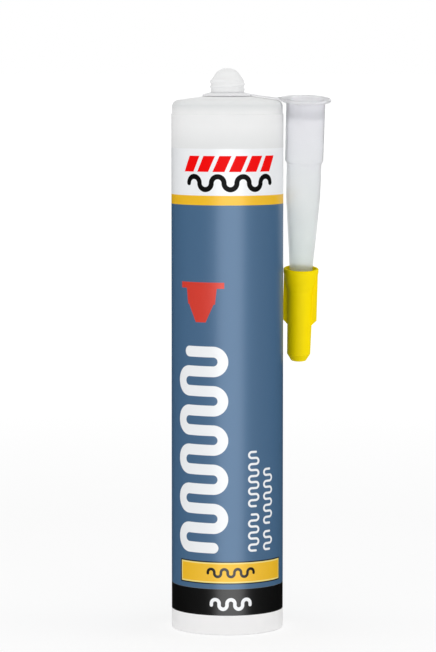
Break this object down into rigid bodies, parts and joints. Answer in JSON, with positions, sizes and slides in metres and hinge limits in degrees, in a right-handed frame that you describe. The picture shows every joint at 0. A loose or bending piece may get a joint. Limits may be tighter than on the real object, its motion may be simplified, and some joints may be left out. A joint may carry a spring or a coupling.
{
  "type": "caulk tube",
  "caption": "Upright sealant cartridge with a threaded nipple, a spare nozzle hung from it by a strap, a push-on winged cap and a piston that slides up the bore.",
  "frame": {"origin": "centre of the rear rim, where a gun's plunger enters the barrel", "axes": "+Z along the barrel towards the nipple, +X towards the hanging nozzle"},
  "size_m": [0.069, 0.0484, 0.2428],
  "materials": {
    "barrel_plastic": "smooth moulded polyethylene, printed blue, red, yellow and black over white",
    "piston_plastic": "plain natural polyethylene",
    "sealant_paste": "smooth white paste",
    "nozzle_plastic": "translucent natural polyethylene, satin",
    "cap_plastic": "satin yellow polyethylene"
  },
  "bodies": {
    "barrel": {"barrel": "barrel_plastic", "sealant": "sealant_paste"},
    "piston": {"piston": "piston_plastic"},
    "nozzle": {"nozzle": "nozzle_plastic"},
    "cap": {"cap": "cap_plastic"}
  },
  "joints": [
    {"name": "piston_slide", "type": "slide", "parent": "barrel", "child": "piston", "axis": [0, 0, 1], "range_m": [0, 0.181], "deforming": ["sealant"]},
    {"name": "nozzle_swivel", "type": "hinge", "parent": "barrel", "child": "nozzle", "pos_m": [0, 0, 0.2316], "axis": [0, 0, 1], "continuous": true},
    {"name": "cap_pull", "type": "slide", "parent": "nozzle", "child": "cap", "axis": [-0.0225, 0.1392, -0.99], "range_m": [0, 0.045]}
  ]
}
